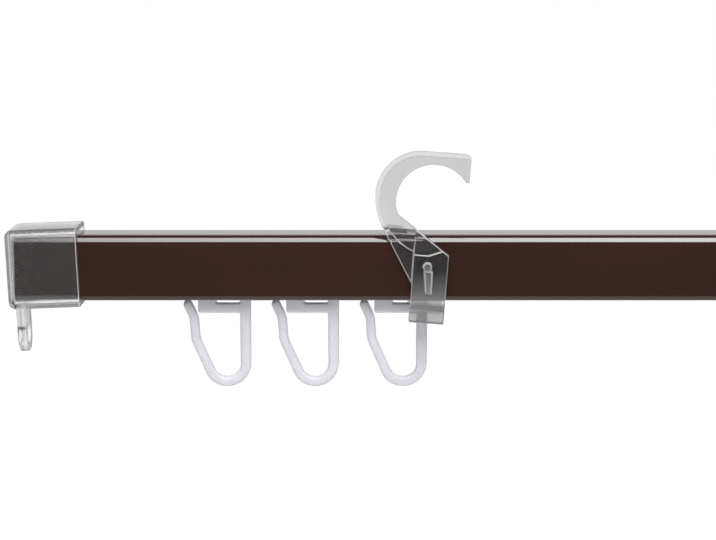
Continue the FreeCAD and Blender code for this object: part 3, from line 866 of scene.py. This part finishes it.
def build_floor():
    """A white floor well below the track, which keeps a faint shadow. Clear plastic shows it white,
    and gloss shows it where it lies below and behind the track."""
    half = FLOOR_WIDTH / 2
    corners = np.array([
        [-half, FLOOR_FRONT], [half, FLOOR_FRONT], [half, FLOOR_BACK], [-half, FLOOR_BACK]])
    points = np.column_stack([corners, np.full(len(corners), FLOOR_HEIGHT)])
    floor = new_piece("floor", points, [(0, 1, 2, 3)])
    material, tree, shader, place = node_material("white_floor")
    shader.inputs["Base Color"].default_value = (0.86, 0.86, 0.86, 1)
    shader.inputs["Roughness"].default_value = 0.9
    shader.inputs["Specular IOR Level"].default_value = 0.0
    glow = tree.nodes.new("ShaderNodeEmission")
    path = tree.nodes.new("ShaderNodeLightPath")
    behind = faded(tree, along(tree, place.outputs["Object"], "Y"), FLOOR_DIM, FLOOR_WHITE)
    mirrored = joined(tree, "MULTIPLY", behind, FLOOR_GLOSS)
    strength = chosen(tree, path.outputs["Is Glossy Ray"], FLOOR_GLOW, mirrored)
    strength = chosen(tree, path.outputs["Is Transmission Ray"], strength, FLOOR_GLOW)
    tree.links.new(strength, glow.inputs["Strength"])
    through = chosen(tree, seen_through(tree, path), behind, 1.0)
    share = chosen(tree, path.outputs["Is Glossy Ray"], 0.0, 1.0)
    share = chosen(tree, path.outputs["Is Transmission Ray"], share, through)
    share = chosen(tree, spread_light(tree, path), share, 0.0)
    share = chosen(tree, path.outputs["Is Camera Ray"], share, FLOOR_SHARE)
    mix = tree.nodes.new("ShaderNodeMixShader")
    tree.links.new(share, mix.inputs["Fac"])
    tree.links.new(shader.outputs["BSDF"], mix.inputs[1])
    tree.links.new(glow.outputs["Emission"], mix.inputs[2])
    tree.links.new(mix.outputs["Shader"], tree.nodes["Material Output"].inputs["Surface"])
    coat(floor, material)


def build_room():
    """A white backdrop behind the track, in a room of plain soft light. Clear plastic shows white
    ahead, and the plain light at its sides. Gloss shows the backdrop, and a dark room in front."""
    world = bpy.data.worlds.new("white_room")
    bpy.context.scene.world = world
    world.use_nodes = True
    tree = world.node_tree
    place = tree.nodes.new("ShaderNodeTexCoord")
    path = tree.nodes.new("ShaderNodeLightPath")
    depth = along(tree, place.outputs["Generated"], "Y")
    mirrored = chosen(tree, faded(tree, depth, *GLOSS_TURN), ROOM_DARK, BACKDROP_GLOSS)
    sides = chosen(tree, faded(tree, depth, *SIDE_TURN), ROOM_DARK, ROOM_LEVEL)
    inside = chosen(tree, faded(tree, depth, *BACKDROP_TURN), sides, 1.0)
    ahead = faded(tree, joined(tree, "ABSOLUTE", depth), *BACKDROP_TURN)
    ahead = chosen(tree, ahead, ROOM_LEVEL, 1.0)
    through = chosen(tree, seen_through(tree, path), inside, ahead)
    level = chosen(tree, path.outputs["Is Glossy Ray"], ROOM_LEVEL, mirrored)
    level = chosen(tree, path.outputs["Is Transmission Ray"], level, through)
    level = chosen(tree, spread_light(tree, path), level, ROOM_LEVEL)
    level = chosen(tree, path.outputs["Is Camera Ray"], level, 1.0)
    room = tree.nodes["Background"]
    room.inputs["Color"].default_value = (1, 1, 1, 1)
    tree.links.new(level, room.inputs["Strength"])


def soft_light(name, place, target, size, power, rise=0.0):
    """A soft light, hidden from the camera, and brighter towards one end where a rise is given.
    Its place, its target and its size are metres, and its power is watts."""
    light = bpy.data.lights.new(name, "AREA")
    light.shape = "RECTANGLE"
    light.size, light.size_y = size
    light.energy = power
    light.use_nodes = True
    tree = light.node_tree
    surface = tree.nodes.new("ShaderNodeNewGeometry")
    across = along(tree, surface.outputs["Parametric"], "X")
    strength = ranged(tree, across, (0.0, 1.0), (1.0 - rise, 1.0 + rise))
    tree.links.new(strength, tree.nodes["Emission"].inputs["Strength"])
    lamp = add_object(name, light)
    lamp.location = place
    lamp.rotation_euler = (Vector(target) - Vector(place)).to_track_quat("-Z", "Y").to_euler()
    lamp.visible_camera = False
    return lamp


def build_camera():
    """The photograph's camera, level from side to side and square to the rail."""
    camera = add_object("camera", bpy.data.cameras.new("camera"))
    camera.location = CAMERA_PLACE
    camera.rotation_euler = (math.radians(90 - CAMERA_PITCH), 0, 0)
    camera.data.sensor_width = SENSOR_WIDTH
    camera.data.lens = FOCAL_PIXELS / IMAGE_WIDTH * SENSOR_WIDTH
    camera.data.clip_start = NEAREST_SEEN
    bpy.context.scene.camera = camera


def build_stage():
    """The floor, the room, a bright soft light above and in front, a weak one low in front, another
    one behind, and the camera. The two weak lights aren't mirrored, or seen through plastic."""
    build_floor()
    build_room()
    soft_light(
        "front_softbox", place=(0.0, -0.5, 0.75), target=(0.0, 0, -0.02), size=(0.6, 0.96),
        power=9.9, rise=0.3)
    fill_light = soft_light(
        "front_fill", place=(0.1, -0.95, -0.2), target=(0.05, 0, -0.03), size=(0.9, 0.5), power=1.5)
    back_light = soft_light(
        "back_softbox", place=(0.1, 0.9, 0.35), target=(0.05, 0, -0.02), size=(1.0, 0.5), power=3.0)
    for lamp in (back_light, fill_light):
        lamp.visible_glossy = False
        lamp.visible_transmission = False
    build_camera()
    bpy.context.scene.view_settings.view_transform = "Standard"


class TRACK_OT_stage(bpy.types.Operator):
    """Add the floor, the lights and the camera"""
    bl_idname = "track.stage"
    bl_label = "Stage"

    def execute(self, context):
        build_stage()
        return {"FINISHED"}


class TRACK_OT_rail(bpy.types.Operator):
    """Add the gloss rail"""
    bl_idname = "track.rail"
    bl_label = "Rail"

    def execute(self, context):
        build_rail()
        return {"FINISHED"}


class TRACK_OT_caps(bpy.types.Operator):
    """Add the clear end caps"""
    bl_idname = "track.caps"
    bl_label = "End Caps"

    def execute(self, context):
        material = clear_material(
            "clear_cap_plastic", density=colours().cap_density, dull=0.2, gloss=0.5)
        for node in (LEFT_CAP, RIGHT_CAP):
            build_moulding(node, sizes().cap_edge, material)
        return {"FINISHED"}


class TRACK_OT_clips(bpy.types.Operator):
    """Add the clear hanger clips"""
    bl_idname = "track.clips"
    bl_label = "Hanger Clips"

    def execute(self, context):
        material = clear_material(
            "clear_clip_plastic", density=colours().clip_density, dull=0.13, gloss=0.3,
            foot=CLIP_FOOT)
        for node in (LEFT_CLIP, RIGHT_CLIP):
            build_moulding(node, sizes().clip_edge, material)
        return {"FINISHED"}


class TRACK_OT_gliders(bpy.types.Operator):
    """Add the milky gliders"""
    bl_idname = "track.gliders"
    bl_label = "Gliders"

    def execute(self, context):
        if not GLIDERS:
            raise RuntimeError("the frame has no gliders")
        material = milky_material()
        for node in GLIDERS:
            build_glider(node, material)
        return {"FINISHED"}


class TRACK_PT_panel(bpy.types.Panel):
    bl_label = "Curtain Track"
    bl_idname = "TRACK_PT_panel"
    bl_space_type = "VIEW_3D"
    bl_region_type = "UI"
    bl_category = "Track"

    def draw(self, context):
        layout = self.layout
        for operator in OPERATORS:
            layout.operator(operator.bl_idname)
        for group, holder in GROUPS.items():
            for name in group.__annotations__:
                layout.prop(getattr(context.scene, holder), name)


GROUPS = {
    TrackSizes: "track_sizes",
    GliderSizes: "glider_sizes",
    TrackColours: "track_colours",
}
OPERATORS = (TRACK_OT_stage, TRACK_OT_rail, TRACK_OT_caps, TRACK_OT_clips, TRACK_OT_gliders)


def register():
    """Adds the settings, the operators and the panel to Blender."""
    for group, holder in GROUPS.items():
        bpy.utils.register_class(group)
        setattr(bpy.types.Scene, holder, bpy.props.PointerProperty(type=group))
    for operator in OPERATORS:
        bpy.utils.register_class(operator)
    bpy.utils.register_class(TRACK_PT_panel)


def unregister():
    """Takes them out again, in the opposite order."""
    bpy.utils.unregister_class(TRACK_PT_panel)
    for operator in reversed(OPERATORS):
        bpy.utils.unregister_class(operator)
    for group, holder in GROUPS.items():
        delattr(bpy.types.Scene, holder)
        bpy.utils.unregister_class(group)


def main():
    """Builds the stage and every piece."""
    register()
    bpy.ops.track.stage()
    bpy.ops.track.rail()
    bpy.ops.track.caps()
    bpy.ops.track.clips()
    bpy.ops.track.gliders()


if __name__ == "__main__":
    main()
